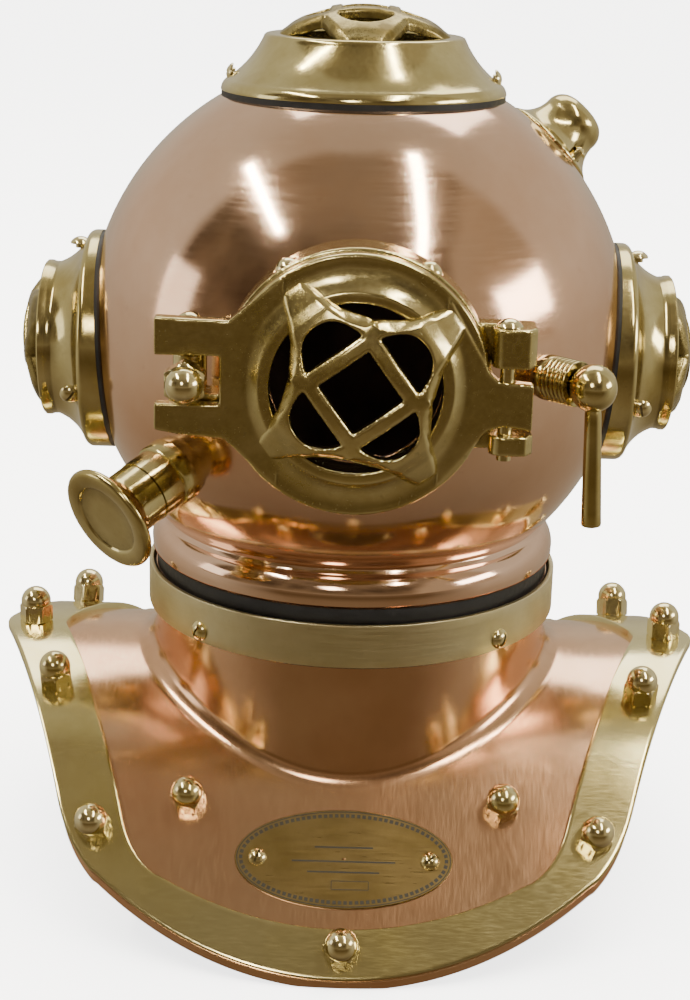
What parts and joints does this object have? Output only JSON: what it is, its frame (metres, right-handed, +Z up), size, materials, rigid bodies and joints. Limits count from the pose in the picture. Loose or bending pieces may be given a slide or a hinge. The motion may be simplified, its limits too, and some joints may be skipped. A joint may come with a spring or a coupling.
{
  "type": "diving helmet ornament",
  "caption": "Miniature copper and brass deep-sea diving helmet ornament with a hinged front window, swing latch, turning valve lever and bolted breastplate.",
  "frame": {"origin": "on the ground under the centre of the helmet, midway between the breastplate's front and back edges", "axes": "+Z up, the front window faces -Y, the door hinge is on the +X side"},
  "size_m": [0.1688, 0.1656, 0.2025],
  "materials": {
    "copper_polished": "copper, spun and mirror polished, rose coloured",
    "copper_brushed": "copper sheet, polished with fine brushing on the slopes",
    "brass_polished": "polished yellow brass with fine scratches",
    "brass_brushed": "turned brass, brushed round the band",
    "brass_cast": "cast brass, polished, darkened in the hollows",
    "brass_bright": "bright turned brass",
    "brass_plate": "satin brass plate, etched border filled black",
    "black_seal": "black sealing ring"
  },
  "bodies": {
    "helmet": {"breastplate": "copper_brushed", "rim_strap": "brass_polished", "rim_nuts": "brass_bright", "rim_studs": "brass_bright", "bib_nuts": "brass_bright", "bib_studs": "brass_bright", "name_plate": "brass_plate", "name_plate_screws": "brass_bright", "collar_band": "brass_brushed", "collar_screws": "brass_bright", "collar_seal": "black_seal", "bonnet": "copper_polished", "top_flange": "brass_cast", "top_seal": "black_seal", "top_grille": "brass_cast", "top_screws": "brass_bright", "left_flange": "brass_cast", "left_seal": "black_seal", "left_grille": "brass_cast", "left_screws": "brass_bright", "right_flange": "brass_cast", "right_seal": "black_seal", "right_grille": "brass_cast", "right_screws": "brass_bright", "front_frame": "brass_cast", "front_seal": "black_seal", "front_frame_screws": "brass_bright", "hinge_screw": "brass_bright", "latch_pin": "brass_bright", "spigot_barrel": "brass_polished", "spigot_disc": "brass_polished", "valve_barrel": "brass_polished", "exhaust_cap": "brass_cast", "exhaust_cap_screw": "brass_bright"},
    "door": {"front_door": "brass_cast", "front_grille": "brass_cast"},
    "latch": {"latch_bolt": "brass_bright"},
    "latch_nut": {"latch_nut": "brass_bright"},
    "lever": {"valve_ball": "brass_polished", "valve_lever": "brass_polished"}
  },
  "joints": [
    {"name": "door_hinge", "type": "hinge", "parent": "helmet", "child": "door", "pos_m": [0.0303, -0.0687, 0.1315], "axis": [0, 0, 1], "range_deg": [0, 95]},
    {"name": "latch_swing", "type": "hinge", "parent": "helmet", "child": "latch", "pos_m": [-0.034, -0.0615, 0.1322], "axis": [0, 0, -1], "range_deg": [0, 90]},
    {"name": "latch_nut_turn", "type": "hinge", "parent": "latch", "child": "latch_nut", "pos_m": [-0.034, -0.0749, 0.1322], "axis": [0, -1, 0], "continuous": true},
    {"name": "valve_turn", "type": "hinge", "parent": "helmet", "child": "lever", "pos_m": [0.04913, -0.05744, 0.12951], "axis": [0.6498, -0.7598, 0.02], "range_deg": [0, 90]}
  ]
}
